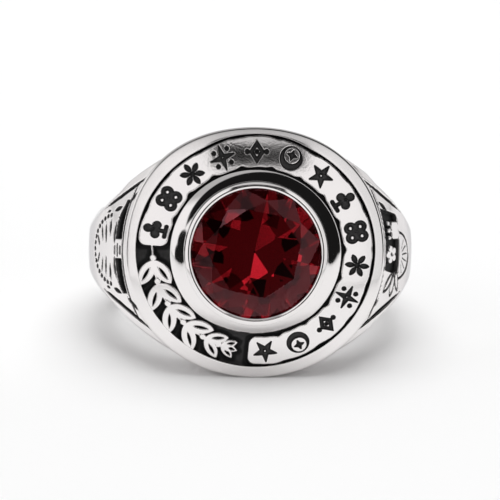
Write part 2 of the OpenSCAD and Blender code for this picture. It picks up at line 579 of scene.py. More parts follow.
@dataclass(frozen=True)
class RedStoneFinish:
    """Clear deep red stone."""

    name: str = "red_stone"
    tint: Colour = (0.74, 0.1, 0.2, 1)
    density: float = 520.0
    glint: Colour = (1.0, 0.45, 0.5, 1)
    index: float = 1.58

    def material(self) -> bpy.types.Material:
        """Builds the material.

        Returns:
            The material.
        """
        made = bpy.data.materials.new(self.name)
        made.use_nodes = True
        tree = made.node_tree
        shader = tree.nodes["Principled BSDF"]
        shader.inputs["Base Color"].default_value = (1, 1, 1, 1)
        shader.inputs["Transmission Weight"].default_value = 1.0
        shader.inputs["Roughness"].default_value = 0.0
        shader.inputs["IOR"].default_value = self.index
        shader.inputs["Specular Tint"].default_value = self.glint
        body = add_node(tree, "ShaderNodeVolumeAbsorption", Color=self.tint, Density=self.density)
        tree.links.new(body.outputs["Volume"], tree.nodes["Material Output"].inputs["Volume"])
        return made


# The ring's pieces


@dataclass(frozen=True)
class Leaf:
    """A leaf of a shoulder: where it springs from, its turn and its size."""

    at: Pair
    turn: float
    length: float
    width: float


LEFT_SPRAY = (
    Leaf((0.35, 10.2), 2, 1.9, 0.3),
    Leaf((0.85, 9.62), -4, 1.7, 0.26),
    Leaf((0.3, 9.12), -10, 1.9, 0.28),
    Leaf((0.6, 8.5), -16, 1.3, 0.26),
    Leaf((0.2, 7.95), -24, 1.0, 0.24),
)
LEFT_CORNER = (
    Leaf((2.95, 9.75), 66, 0.9, 0.36),
    Leaf((3.5, 11.05), 34, 1.5, 0.26),
    Leaf((2.85, 8.75), 75, 0.5, 0.22),
)
RIGHT_FAN = (
    Leaf((-1.55, 10.0), 152, 1.7, 0.5),
    Leaf((-1.6, 9.75), 178, 1.8, 0.52),
    Leaf((-1.5, 9.45), 203, 1.6, 0.5),
)
RIGHT_CORNER = (
    Leaf((3.15, 10.4), 44, 1.1, 0.36),
    Leaf((3.6, 11.25), 30, 1.7, 0.26),
    Leaf((-3.4, 11.1), 150, 1.7, 0.26),
)


@dataclass
class Band:
    """The hoop and the two shoulders, with their rails and sunk panels."""

    bore_r: float = 10.0
    hoop_r: float = 12.1
    back_half: float = 2.7
    neck_half: float = 3.2
    hoop_dome_r: float = 6.4
    shoulder_r: float = 12.6
    shoulder_dome_r: float = 17.0
    shoulder_z: float = 3.8
    shoulder_top_z: float = 12.75
    shoulder_more: float = 0.25
    top_more: float = 0.2
    flare_r: float = 8.86
    flare_z: float = 5.0
    flank_r: float = 18.5
    flank_x: float = 2.68
    flank_y: float = 8.5
    flank_full: float = 5.2
    flank_run: float = 1.2
    rail_w: float = 0.8
    panel_r: float = 5.8
    panel_z: float = 12.8
    panel_sink: float = 0.12
    cut_depth: float = 0.38
    line_depth: float = 0.17
    crown_r: float = 10.2
    head_squash: float = 0.963
    head_r: float = 9.408
    head_z: float = 12.709
    head_lean: float = math.radians(24)
    edge_soft: float = 0.3
    hidden_less: float = 0.28
    across_count: int = 176

    def half_width(self, z: Array) -> Array:
        """Half the band's width along the finger.

        Args:
            z: heights above the finger's axis.

        Returns:
            The half width at each height.
        """
        back = self.hoop_r - self.hoop_dome_r
        back = back + math.sqrt(self.hoop_dome_r**2 - self.back_half**2)
        t = np.clip((self.flare_z - z) / (self.flare_z + back), 0, 1)
        narrow = self.neck_half + (self.back_half - self.neck_half) * t
        up = np.clip(z, self.flare_z, self.shoulder_top_z) - self.flare_z
        arc = self.flare_r - np.sqrt(self.flare_r**2 - up**2)
        return narrow + arc + self.broader(z) + self.top_more * ease(z, 9.5, 11.5)

    def broader(self, z: Array) -> Array:
        """How much the shoulders are broader, towards their top, than their plain arcs."""
        return self.shoulder_more * ease(z, 6.5, 9.5)

    def shoulder_reach(self, a: Array, y: Array, sink: Array) -> Array:
        """How far the shoulders' surface is from the finger's axis, if sunk by that much."""
        rho = self.shoulder_r - self.shoulder_dome_r
        rho = rho + np.sqrt(self.shoulder_dome_r**2 - y**2) - sink
        return self.shoulder_z * np.sin(a) + np.sqrt(rho**2 - (self.shoulder_z * np.cos(a)) ** 2)

    def flank_middle(self, a: Array, y: Array) -> Array:
        """How far past the ring's middle the arcs of the flanks have theirs.

        Args:
            a: angles round the finger.
            y: places along it.

        Returns:
            The distances, which change towards the upper and the lower edge.
        """
        left = ease(-np.cos(a), -0.1, 0.1)
        full = self.flank_full - 0.9 * left
        end = full + self.flank_run
        middle = self.flank_y + 0.3 * ease(y, 0.5, 2.0) - 0.3 * ease(y, full, end)
        return middle - (0.1 + 0.12 * left) * ease(-y, full, end)

    def reach(self, a: Array, y: Array) -> Array:
        """How far the plain outer surface is from the finger's axis.

        Args:
            a: angles round the finger.
            y: places along it.

        Returns:
            The distances.
        """
        rise = np.sqrt(np.maximum(self.hoop_dome_r**2 - y**2, 0.01))
        hoop = rise + self.hoop_r - self.hoop_dome_r
        r = swell(hoop, self.shoulder_reach(a, y, np.zeros_like(y)), 0.12)
        flank = np.sqrt(self.flank_r**2 - (np.abs(y) + self.flank_middle(a, y)) ** 2) - self.flank_x
        r = melt(r, flank / np.maximum(np.abs(np.cos(a)), 0.02), 0.35)
        r = np.minimum(r, self.shoulder_top_z / np.maximum(np.sin(a), 0.02))
        hidden = 1 - ease(np.hypot(r * np.cos(a), y), 5.2, 7.4)
        return np.where(np.sin(a) > 0.7, r + (self.crown_r - r) * hidden, r)

    def to_rail(self, y: Array, z: Array) -> Array:
        """How far a place is inside the inner edge of the rails."""
        away = np.hypot(np.abs(y) - self.neck_half - self.flare_r, z - self.flare_z)
        return away - self.flare_r - self.rail_w + self.broader(z)

    def to_wall(self, x: Array, y: Array, z: Array) -> Array:
        """How far a place is outside the head's sloping wall.

        Args:
            x: places across the head.
            y: places along the finger.
            z: places upward.

        Returns:
            The distances, below zero inside the head.
        """
        grown = SQUARING.growth(np.arctan2(y, x * self.head_squash), z)
        away = np.hypot(x * self.head_squash, y) - self.head_r - grown
        return away - (z - self.head_z) * math.tan(self.head_lean)

    def leaves(self, y: Array, z: Array, grown: tuple[Leaf, ...]) -> Array:
        """Distance to the nearest of some leaves.

        Args:
            y: places along the finger.
            z: places upward.
            grown: the leaves.

        Returns:
            The distances.
        """
        d = np.full(y.shape, FAR)
        for blade in grown:
            u, v = turned(y, z, blade.at, blade.turn)
            d = np.minimum(d, leaf(u, v, blade.length, blade.width))
        return d

    def left_work(self, y: Array, z: Array, wall: Array) -> tuple[Array, Array, Array]:
        """The left shoulder's work: slots by the wall, a ribbed knot, leaves and an arc of pits.

        Args:
            y: places along the finger.
            z: places upward.
            wall: how far they are outside the head's wall.

        Returns:
            Distances to its deep cuts, its forms that stand in them, and its fine lines.
        """
        s = np.abs(y)
        half = 0.36 * (1 - 0.5 * ease(s, 2.4, 3.9))
        ends = np.maximum.reduce([0.74 - np.abs(y - 0.1), y - 3.85, -3.3 - y])
        slots = np.maximum(np.abs(wall - 1.14 - half) - half, ends)
        lines = np.minimum(self.leaves(s, z, LEFT_SPRAY), self.leaves(s, z, LEFT_CORNER)) + 0.02
        lines = np.minimum(lines, np.abs(wall - 0.98) - 0.05)
        for level, reach in ((1.3, 0.34), (1.62, 0.5), (1.94, 0.34)):
            lines = np.minimum(lines, np.maximum(np.abs(wall - level) - 0.06, s - reach))
        middle_z, arc_r, pit_r, step = 9.8, 2.66, 0.16, math.radians(10.2)
        nearest = np.rint((np.arctan2(z - middle_z, y) + math.pi / 2) / step)
        a = np.clip(nearest, -8, 8) * step - math.pi / 2
        pits = np.hypot(y - arc_r * np.cos(a), z - middle_z - arc_r * np.sin(a)) - pit_r
        return slots, np.full_like(y, FAR), np.minimum(lines, pits)

    def right_work(self, y: Array, z: Array, wall: Array) -> tuple[Array, Array, Array]:
        """The right shoulder's work: a recess with a shield, beads and a rosette, and a shell.

        Args:
            y: places along the finger.
            z: places upward.
            wall: how far they are outside the head's wall.

        Returns:
            Distances to its deep cuts, its forms that stand in them, and its fine lines.
        """
        recess = swell(np.abs(y - 0.75 - 0.25 * (z - 10.0)) - 2.35, 9.1 - z, 0.35)
        recess = np.maximum(recess, 1.1 - wall)

        aside = np.abs(y - 1.68)
        shield = np.hypot(np.maximum(aside - 0.4, 0), np.maximum(np.abs(z - 9.66) - 0.3, 0)) - 0.26
        beads = np.hypot(np.abs(aside - 0.28) - 0.28, z - 10.5) - 0.17
        u, v = y + 0.15, z - 10.3
        rosette = np.maximum(foil(u, v, 5, 0.45, 0.27), -disc(u, v, 0.13))
        fan = self.leaves(y, z, RIGHT_FAN)
        forms = np.minimum.reduce([shield, beads, rosette, fan])

        u, v = y + 0.28, z - 9.0
        shell = disc(u, v, 1.78)
        rim = np.maximum(np.abs(shell) - 0.085, z - 8.96)
        turn = np.abs(np.mod(np.arctan2(v, u) + TAU, math.radians(24)) - math.radians(12))
        flutes = np.hypot(u, v) * np.sin(turn) - 0.03
        flutes = np.maximum.reduce([flutes, shell + 0.3, -shell - 1.2, z - 8.7])
        corners = self.leaves(y, z, RIGHT_CORNER) + 0.02
        seam = np.abs(wall - 0.9) - 0.05
        return recess, forms, np.minimum.reduce([rim, flutes, np.abs(fan) - 0.055, corners, seam])

    def sink(self, x: Array, y: Array, z: Array) -> tuple[Array, Array]:
        """How the shoulders' panels and their work are sunk and blackened.

        Args:
            x: places across the head.
            y: places along the finger.
            z: places upward.

        Returns:
            How deep the surface is sunk under the shoulders' plain one, and how black it is.
        """
        wall, rail = self.to_wall(x, y, z), self.to_rail(y, z)
        left, right = self.left_work(y, z, wall), self.right_work(y, z, wall)
        cuts, forms, lines = (np.where(x < 0, a, b) for a, b in zip(left, right))
        border = np.where(x < 0, 0.1, 0.075) * ease(z, 8.3, 9.6)
        border = border * (1 - 0.55 * ease(z, 10.9, 12.0)) - np.abs(rail - 0.1)
        border = np.where(z > 8.3, border, -1.0)
        open_to = ease(rail, 0.16, 0.3)
        cuts = swell(cuts, -forms, 0.02)
        lines = np.maximum(lines, 0.05 - np.abs(cuts))
        deep = ease(-cuts, -0.03, 0.08) * open_to
        line = ease(-lines, -0.04, 0.05) * open_to
        rim = ease(border, -0.03, 0.02)
        low = self.panel_r - np.hypot(y, z - self.panel_z)
        sunk = self.panel_sink * ease(rail, 0.0, 0.1) * ease(low, -0.2, 1.2)
        depth = sunk + self.cut_depth * deep + self.line_depth * np.maximum(line, rim) * (1 - deep)
        black = np.maximum(stain(np.minimum(cuts, lines)) * open_to, stain(-border))
        return depth, black * ease(rail, -0.06, 0.02)

    def stations(self) -> Array:
        """Angles round the finger, from the back's middle, close together across the panels.

        Returns:
            The angles in order, as a column.
        """
        spans = ((-90, 22, 44), (22, 64, 152), (64, 90, 18))
        right = np.concatenate([np.linspace(a, b, n, endpoint=False) for a, b, n in spans])
        return np.sort(np.radians(np.r_[right, 180 - right[:0:-1], 90]))[:, None]

    def at(self, a: Array, r: Array, y: Array) -> Array:
        """Places at an angle round the finger, a distance from its axis and a place along it."""
        return np.stack(np.broadcast_arrays(r * np.cos(a), y, r * np.sin(a)), -1)

    def inner_soft(self, a: Array) -> Array:
        """Rounding of the bore's edges, which is small where the head covers them."""
        return self.edge_soft - self.hidden_less * ease(np.sin(a), 0.77, 0.81)

    def side(self, a: Array, edge: Array, sign: int) -> list[Array]:
        """One side of the band, from its outer surface to its bore.

        Args:
            a: angles round the finger.
            edge: how far the sharp outer edge would be from the finger's axis.
            sign: 1 for the upper side, -1 for the lower one.

        Returns:
            The places of its outer edge, its flat wall and its inner edge.
        """
        bore = np.full_like(a, self.bore_r)
        lip = self.half_width(edge * np.sin(a))
        foot = self.half_width(bore * np.sin(a))
        soft, inner_soft = self.edge_soft, self.inner_soft(a)
        top, bottom = self.at(a, edge, sign * lip)[:, 0], self.at(a, bore, sign * foot)[:, 0]
        down = bottom - top
        down = down / np.linalg.norm(down, axis=-1, keepdims=True)
        ledge_y = sign * (lip - soft)
        ledge = self.at(a, self.reach(a, ledge_y), ledge_y)[:, 0]
        inward = self.at(a, bore, sign * (foot - inner_soft))[:, 0]
        first, last = top + down * soft, bottom - down * inner_soft
        return [
            bend_between(ledge, top, first, 7)[:, 1:],
            line_between(first, last, 8, slice(1, -1)),
            bend_between(last, bottom, inward, 7),
        ]

    def build(self) -> bpy.types.Object:
        """Builds the band.

        Returns:
            The band as one closed piece.
        """
        a = self.stations()
        edge = np.full_like(a, self.hoop_r)
        for _ in range(24):
            edge = 0.5 * edge + 0.5 * self.reach(a, self.half_width(edge * np.sin(a)))
        lip = self.half_width(edge * np.sin(a))
        y = np.linspace(-1, 1, self.across_count)[None, :] * (lip - self.edge_soft)
        plain = r = self.reach(a, y)
        for _ in range(3):
            depth, black = self.sink(r * np.cos(a), y, r * np.sin(a))
            cut = np.minimum(plain, self.shoulder_reach(a, y, depth))
            r = np.where(depth > 1e-5, cut, plain)
        outer = self.at(a, r, y)
        wall = self.to_wall(outer[..., 0], outer[..., 1], outer[..., 2])
        # Painted shade: the band is darkened along where it meets the head's wall, standing in for
        # the shade in that crevice.
        seam = stain(wall - 0.08) * (outer[..., 2] > 7)

        foot = self.half_width(self.bore_r * np.sin(a))
        t = np.linspace(-1, 1, 16)[None, 1:-1]
        bore = self.at(a, np.full_like(a, self.bore_r), t * (foot - self.inner_soft(a)))
        ahead, behind = self.side(a, edge, 1), self.side(a, edge, -1)
        back = [part[:, ::-1] for part in behind[::-1]]
        rows = np.concatenate([outer, *ahead, bore[:, ::-1], *back], axis=1)
        patina_and_shade = np.zeros(rows.shape[:2])
        patina_and_shade[:, : self.across_count] = np.maximum(black, seam)
        return wreath("silver_band", rows, patina_and_shade)


@dataclass
class Head:
    """The domed oval head: rim, sloping wall, and the trough for the ornament."""

    head_r: float = 9.46
    stretch: float = 0.36
    inner_stretch: float = 0.2
    dome_r: float = 24.7
    dome_z: float = -9.543048
    rim_r: float = 0.6
    rim_soft: float = 0.3
    rim_z: float = 12.953196
    wall_lean: float = math.radians(24)
    wall_foot_soft: float = 0.3
    band_in_r: float = 6.3
    band_out_r: float = 8.8
    relief_h: float = 0.45
    floor_gap: float = 0.16
    trough_full_r: float = 8.6
    past_trough: Pair = (8.9, 9.44)
    above_wall: Pair = (12.2, 12.8)
    top_from_z: float = 12.85
    square_from: Pair = (8.85, 9.3)
    hole_r: float = 4.0
    bore_r: float = 10.015
    turns: int = 640

    def angles(self, count: int) -> Array:
        """Angles round the head, as a column."""
        return np.linspace(0, TAU, count, endpoint=False)[:, None]

    def dome(self, r: Array) -> Array:
        """Height of the domed top at a radius."""
        return self.dome_z + np.sqrt(self.dome_r**2 - np.square(r))

    def pull(self, r: Array) -> Array:
        """How far the oval is pulled out across the finger at a radius."""
        t = np.clip((np.asarray(r) - self.band_in_r) / (self.head_r - self.band_in_r), 0, 1)
        return self.inner_stretch + (self.stretch - self.inner_stretch) * t

    def trough_shift(self, phi: Array) -> Array:
        """How far the trough's outer edge is moved out of its oval.

        Args:
            phi: angles round the head.

        Returns:
            The shifts in mm: outward at the top, and inward at the left and the bottom.
        """
        up, left = np.sin(phi), -np.cos(phi)
        off = 0.1 * ease(up, -0.3, 0.3) + 0.18 * ease(up, 0.88, 1.0)
        return off - 0.05 - 0.05 * ease(left, -0.2, 0.5) - 0.06 * ease(-up, 0.3, 0.9)

    def oval(self, r: Array, z: Array, phi: Array) -> Array:
        """Places round the head, on its squared oval.

        Args:
            r: radii along the finger.
            z: heights.
            phi: angles round the head.

        Returns:
            The places in the ring's own frame.
        """
        off = self.trough_shift(phi) * ease(r, self.band_in_r, self.trough_full_r)
        off = off * (1 - ease(r, *self.past_trough)) * ease(z, *self.above_wall)
        spread = np.where(z > self.top_from_z, ease(r, *self.square_from), 1)
        grown = r + off + SQUARING.growth(phi, z) * spread
        z = z + self.dome(grown) - self.dome(r)
        x = (grown + self.pull(r)) * np.cos(phi)
        return np.stack(np.broadcast_arrays(x, grown * np.sin(phi), z), -1)

    def wall_r(self, z: Array) -> Array:
        """Radius of the sloping wall.

        Args:
            z: heights.

        Returns:
            The radius at each height.
        """
        top_r = self.head_r - self.rim_r * (1 - math.cos(self.wall_lean))
        top_z = self.rim_z - self.rim_r * math.sin(self.wall_lean)
        return top_r + (z - top_z) * math.tan(self.wall_lean)

    def top_line(self) -> Array:
        """Half section from the hole under the stone to the wall below the rim.

        Returns:
            Its points, as rows of radius and height.
        """
        corner_z = self.rim_z
        for _ in range(20):
            corner_z = float(self.dome(self.wall_r(corner_z)))
        floor = self.relief_h + self.floor_gap
        edge_r, edge_z = self.band_out_r, float(self.dome(self.band_out_r))
        sunk = [(r, float(self.dome(r)) - floor, 0.0) for r in np.linspace(6.2, 8.6, 7)]
        rim = [(r, float(self.dome(r)), 0.0) for r in np.linspace(edge_r + 0.09, 9.0, 4)]
        corners = [
            (self.hole_r, 11.6, 0),
            (5.7, float(self.dome(5.7)) - floor, 0.1),
            *sunk,
            (edge_r, edge_z - floor, 0.03),
            (edge_r, edge_z, 0.07),
            *rim,
            (float(self.wall_r(corner_z)), corner_z, self.rim_soft),
            (float(self.wall_r(12.0)), 12.0, 0),
        ]
        return outline(corners, 110)

    def underside(self, r: Array, phi: Array) -> Array:
        """Places on the head's underside, which follows the finger hole.

        Args:
            r: radii along the finger.
            phi: angles round the head.

        Returns:
            The places in the ring's own frame.
        """
        place = self.oval(r, np.zeros_like(r), phi)
        place[..., 2] = np.sqrt(self.bore_r**2 - place[..., 0] ** 2)
        return place

    def build(self) -> bpy.types.Object:
        """Builds the head.

        Returns:
            The head as one closed piece.
        """
        phi = self.angles(self.turns)
        line = self.top_line()
        top = self.oval(line[None, :, 0], line[None, :, 1], phi)
        z = np.full_like(phi, 9.0)
        for _ in range(40):
            x = (self.wall_r(z) + self.stretch) * np.cos(phi)
            z = 0.5 * z + 0.5 * np.sqrt(self.bore_r**2 - x**2)
        soft, foot_r, start = self.wall_foot_soft, self.wall_r(z), top[:, -1]
        foot = self.oval(foot_r, z, phi)[:, 0]
        down = foot - start
        last = foot - down / np.linalg.norm(down, axis=-1, keepdims=True) * soft
        wall = line_between(start, last, 14, slice(1, None))
        corner = bend_between(last, foot, self.underside(foot_r - soft, phi)[:, 0], 8)[:, 1:]
        t = np.linspace(0, 1, 16)[None, 1:]
        floor = self.underside((foot_r - soft) * (1 - t) + self.hole_r * t, phi)
        hole = line_between(floor[:, -1], top[:, 0], 4, slice(1, -1))
        rows = np.concatenate([top, wall, corner, floor, hole], axis=1)
        return wreath("silver_head", rows, np.zeros(rows.shape[:2]))


class Motif(Enum):
    """The plain motifs cut into the pads of the ornament."""

    STAR = 0
    QUATREFOIL = 1
    COMPASS = 2
    CRESCENT = 3
    TREFOIL = 4
    ROSETTE = 5
    LOZENGE = 6

    def cut(self, u: Array, v: Array) -> Array:
        """Distance to the motif, which is about 1.7 mm high, upright on the second axis.

        Args:
            u: first coordinates of the points.
            v: second coordinates of the points.

        Returns:
            The distances.
        """
        if self is Motif.STAR:
            return np.maximum(star(u, v, 5, 0.88, 0.34), -disc(u, v, 0.13))
        if self is Motif.QUATREFOIL:
            rings = np.abs(np.hypot(np.abs(u) - 0.36, np.abs(v) - 0.36) - 0.29) - 0.12
            return np.minimum(rings, star(u, v, 4, 0.24, 0.1))
        if self is Motif.COMPASS:
            dots = np.hypot(np.abs(u) - 0.5, np.abs(v) - 0.5) - 0.13
            return np.minimum(np.maximum(star(u, v, 4, 0.9, 0.24), -disc(u, v, 0.1)), dots)
        if self is Motif.CRESCENT:
            moon = np.maximum(disc(u, v, 0.8), -disc(u, v - 0.2, 0.62))
            return np.minimum(moon, star(u, v - 0.22, 4, 0.36, 0.15))
        if self is Motif.TREFOIL:
            lobes = np.maximum(foil(u, v - 0.16, 3, 0.4, 0.27), -disc(u, v - 0.16, 0.1))
            stem = bar(u, v, (0, 0), (0, -0.72), 0.11)
            return np.minimum.reduce([lobes, stem, bar(u, v, (-0.4, -0.74), (0.4, -0.74), 0.09)])
        if self is Motif.ROSETTE:
            d = disc(u, v, 0.16)
            for i in range(6):
                petal = turned(u, v, (0, 0), 30 + 60 * i)
                d = np.minimum(d, leaf(petal[0] - 0.2, petal[1], 0.66, 0.3))
            return d
        frame_line = np.abs(np.abs(u) * 0.9 + np.abs(v) * 0.62 - 0.36) - 0.11
        return np.minimum.reduce([frame_line, disc(np.abs(u) - 0.7, v, 0.14), disc(u, v, 0.11)])


@dataclass
class Ornament:
    """The band of ornament: a row of joined pads with motifs, and a laurel sprig."""

    head: Head
    pads: int = 14
    pad_from: float = -84.0
    pad_to: float = 167.0
    mid_r: float = 7.55
    pad_half: float = 1.1
    from_r: float = 6.05
    past_r: float = 0.1
    cut_depth: float = 0.24
    below_dome: float = 0.015
    thickness: float = 0.4
    turns: int = 1320
    rows_count: int = 58

    def middle(self, degrees: float) -> Pair:
        """The place in the middle of the band at an angle round the head."""
        a = math.radians(degrees)
        return self.mid_r * math.cos(a), self.mid_r * math.sin(a)

    def pad_row(self, phi: Array, r: Array) -> tuple[Array, Array]:
        """The row of joined pads, and the motifs cut in it.

        Args:
            phi: angles round the head.
            r: radii.

        Returns:
            Distances to the pads and to the motifs.
        """
        x, y = r * np.cos(phi), r * np.sin(phi)
        step = (self.pad_to - self.pad_from) / (self.pads - 1)
        along = np.mod(np.degrees(phi) - self.pad_from + step, 360) / step - 1
        pinch = np.sin(math.pi * along) ** 10
        sway = 0.03 * np.sin(along * 2.9 + 0.6) + 0.02 * np.sin(along * 7.3)
        outward = r - self.mid_r - self.pad_half + 0.06 * pinch - sway
        inward = self.mid_r - r - self.pad_half + 0.15 * pinch + sway
        inward = inward - 0.1 * ease(-np.sin(phi), 0.7, 1.0)
        past = np.maximum(-0.5 - along, along - self.pads + 0.5) * math.radians(step) * self.mid_r
        pads = swell(np.maximum(outward, inward), past, 0.5)
        cuts = np.full(np.broadcast(phi, r).shape, FAR)
        for i in range(self.pads):
            a = self.pad_from + i * step
            near = np.abs(along - i) < 0.75
            u, v = turned(x[near], y[near], self.middle(a), a - 90)
            cuts[near] = np.minimum(cuts[near], Motif(i * 3 % len(Motif)).cut(u, v))
        return pads, cuts

    def laurel(self, phi: Array, r: Array) -> Array:
        """The laurel sprig: leaves in pairs with their veins, berries, and a tip of three leaves.

        Args:
            phi: angles round the head.
            r: radii.

        Returns:
            Distances to it.
        """
        x, y = r * np.cos(phi), r * np.sin(phi)
        d = np.full(np.broadcast(phi, r).shape, FAR)
        nodes = ((185, 1.0), (199, 1.0), (213, 1.0), (227, 1.0), (241, 0.82), (251, 0.6))
        for a, size in nodes:
            for turn in (57, 90, 123) if size < 0.7 else (57, 123):
                u, v = turned(x, y, self.middle(a), a + turn)
                blade = leaf(u + 0.1, v, 2.35 * size, 1.14 * size)
                vein = leaf(u - 0.7 * size, v, 1.0 * size, 0.15)
                d = np.minimum(d, np.maximum(blade, -vein))
            u, v = turned(x, y, self.middle(a), a + 90)
            berry, stem = disc(u + 0.2, v, 0.27), bar(u, v, (-1.3, 0), (0, 0), 0.1)
            d = np.minimum.reduce([d, berry, stem])
        return d

    def build(self) -> bpy.types.Object:
        """Builds the ornament.

        Returns:
            The ornament as one closed ring.
        """
        head = self.head
        r = np.linspace(self.from_r, head.band_out_r + self.past_r, self.rows_count)[None, :]
        phi, r = np.broadcast_arrays(head.angles(self.turns), r)
        pads, cuts = self.pad_row(phi, r)
        sprig = self.laurel(phi, r)
        level = ease(-np.minimum(pads, sprig), -0.06, 0.06)
        cut = ease(-cuts, -0.05, 0.06)
        depth = head.relief_h * (1 - level) + self.cut_depth * cut * level + self.below_dome
        raised = np.minimum(np.maximum(pads, 0.05 - cuts), sprig)
        inside = ease(-pads, 0.02, 0.12) * ease(-cuts, -0.05, 0.05)
        away = ease(raised, 0.16, 0.4)
        patina_and_shade = ease(-raised, 0.035, -0.015) * (1 - 0.35 * inside - 0.24 * away)
        top = head.oval(r, head.dome(r) - depth, phi)
        r, phi = r[:, ::-4], phi[:, ::-4]
        under = head.oval(r, head.dome(r) - head.relief_h - self.thickness, phi)
        rows = np.concatenate([top, under], axis=1)
        patina_and_shade = np.concatenate([patina_and_shade, np.ones(under.shape[:2])], axis=1)
        return wreath("silver_ornament", rows, patina_and_shade)


@dataclass
class Bezel:
    """The sloping collar, the thin burnished lip and the seat that hold the stone."""

    head: Head
    lip_in_r: float = 4.94
    lip_w: float = 0.53
    lip_z: float = 15.36
    groove_r: float = 5.12
    groove_half: float = 0.04
    collar_z: float = 15.04
    collar_foot_z: float = 14.36
    collar_bulge: float = 0.05
    collar_short: float = 0.2
    girdle_z: float = 14.92
    stone_r: float = 5.0
    seat_play: float = 0.03
    turns: int = 720

    def section(self) -> Array:
        """Half section: the seat, the lip with its fine groove, the collar and the hidden foot.

        Returns:
            Its points, as rows of radius and height.
        """
        lip_out, foot_r = self.lip_in_r + self.lip_w, self.head.band_in_r
        top, foot = np.array([lip_out, self.collar_z]), np.array([foot_r, self.collar_foot_z])
        out = np.array([top[1] - foot[1], foot[0] - top[0]]) / np.hypot(*(foot - top))
        swelling = [
            (*(top + (foot - top) * t + out * 4 * self.collar_bulge * t * (1 - t)), 0.0)
            for t in np.linspace(0, 1, 14)[1:-1]
        ]
        corners = [
            (0.5, 10.24, 0),
            (2.95, 12.5, 0.1),
            (self.stone_r + self.seat_play, self.girdle_z - 0.03, 0.02),
            (self.stone_r + self.seat_play, self.girdle_z + 0.23, 0.02),
            (self.lip_in_r, self.girdle_z + 0.3, 0.02),
            (self.lip_in_r, self.lip_z - 0.08, 0.02),
            (self.groove_r - self.groove_half, self.lip_z - 0.02, 0.01),
            (self.groove_r, self.lip_z - 0.12, 0.02),
            (self.groove_r + self.groove_half, self.lip_z, 0.01),
            (lip_out, self.lip_z - 0.13, 0.04),
            (lip_out, self.collar_z, 0.03),
            *swelling,
            (foot_r, self.collar_foot_z, 0.06),
            (foot_r, 13.5, 0.1),
            (4.5, 12.3, 0.1),
            (1.8, 10.2, 0.1),
        ]
        return outline(corners, 130, closed=True)

    def build(self) -> bpy.types.Object:
        """Builds the bezel.

        Returns:
            The bezel as one closed piece.
        """
        line = self.section()
        phi = self.head.angles(self.turns)
        r, z = line[None, :, 0], line[None, :, 1]
        low = ease(r, self.lip_in_r + self.lip_w, self.head.band_in_r)
        r = r - self.collar_short * low * ease(-np.sin(phi), 0.7, 1.0)
        x = (r + low * self.head.pull(self.head.band_in_r)) * np.cos(phi)
        rows = np.stack(np.broadcast_arrays(x, r * np.sin(phi), z), -1)
        groove = (np.abs(r - self.groove_r) < 0.03) & (z > self.lip_z - 0.16)
        seat = (r < self.stone_r + 0.04) & (z < self.girdle_z + 0.3)
        patina_and_shade = np.maximum(groove * ease(np.sin(phi), -0.95, -0.5), 0.7 * seat)
        return wreath("silver_bezel", rows, patina_and_shade)


@dataclass
class Stone:
    """Round brilliant: table, three rows of crown facets, girdle and pavilion."""

    girdle_r: float = 5.0
    table_r: float = 3.4
    crown_h: float = 0.76
    girdle_h: float = 0.2
    pavilion_h: float = 4.47
    pavilion_tilt: float = math.radians(42.2)
    lower_girdle_steep: float = 1.05
    girdle_z: float = 14.92
    girdle_steep: float = 1.3
    star_share: float = 0.37
    turn: float = math.radians(11.5)

    def cut(self, bm: bmesh.types.BMesh, tilt: float, turn: float, r: float, h: float) -> None:
        """Cuts a facet through the point at a radius and a height, and closes it.

        Args:
            bm: the stone so far.
            tilt: the facet's tilt from level.
            turn: the facet's angle round the stone.
            r: radius of a point that it goes through.
            h: height of that point.
        """
        turn += self.turn
        c, s, level = math.cos(turn), math.sin(turn), math.sin(tilt)
        away = Vector((level * c, level * s, math.cos(tilt)))
        made = bmesh.ops.bisect_plane(
            bm,
            geom=bm.verts[:] + bm.edges[:] + bm.faces[:],
            dist=1e-5,
            plane_co=Vector((r * c, r * s, h)),
            plane_no=away,
            clear_outer=True,
        )
        edges = [e for e in made["geom_cut"] if isinstance(e, bmesh.types.BMEdge)]
        if edges:
            bmesh.ops.contextual_create(bm, geom=edges)

    def rough(self) -> bmesh.types.BMesh:
        """The stone before its facets are cut: a prism from the culet to the table.

        Returns:
            The prism, with the foot of its girdle at height 0.
        """
        bm = bmesh.new()
        height = self.pavilion_h + self.girdle_h + self.crown_h
        r = self.girdle_r
        bmesh.ops.create_cone(bm, cap_ends=True, segments=16, radius1=r, radius2=r, depth=height)
        first = next(iter(bm.verts)).co
        turn = Matrix.Rotation(self.turn - math.atan2(first.y, first.x), 3, "Z")
        bmesh.ops.rotate(bm, verts=bm.verts, cent=(0, 0, 0), matrix=turn)
        bmesh.ops.translate(bm, verts=bm.verts, vec=(0, 0, height / 2 - self.pavilion_h))
        return bm

    def build(self) -> bpy.types.Object:
        """Builds the stone.

        Returns:
            The stone as one closed piece with flat facets.
        """
        bm = self.rough()
        step = TAU / 16
        foot, top = 0, self.girdle_h
        table_z, table_side = top + self.crown_h, self.table_r * math.cos(step)
        chord = self.girdle_r * math.cos(step / 2)
        crown = math.atan(self.crown_h / (self.girdle_r - self.table_r))
        below, lower_girdle = self.pavilion_tilt, self.pavilion_tilt * self.lower_girdle_steep
        for i in range(8):
            self.cut(bm, crown, 2 * i * step, self.girdle_r, top)
            self.cut(bm, crown * self.star_share, (2 * i + 1) * step, table_side, table_z)
            self.cut(bm, math.pi - below, 2 * i * step, self.girdle_r, foot)
        for i in range(16):
            self.cut(bm, crown * self.girdle_steep, (i + 0.5) * step, chord, top)
            self.cut(bm, math.pi - lower_girdle, (i + 0.5) * step, chord, foot)
        bmesh.ops.dissolve_limit(bm, angle_limit=0.001, verts=bm.verts, edges=bm.edges)
        bmesh.ops.translate(bm, verts=bm.verts, vec=(0, 0, self.girdle_z))
        for v in bm.verts:
            v.co = POSE.place(np.array(v.co))
        return finished_piece("red_stone", bm, False)


# The studio


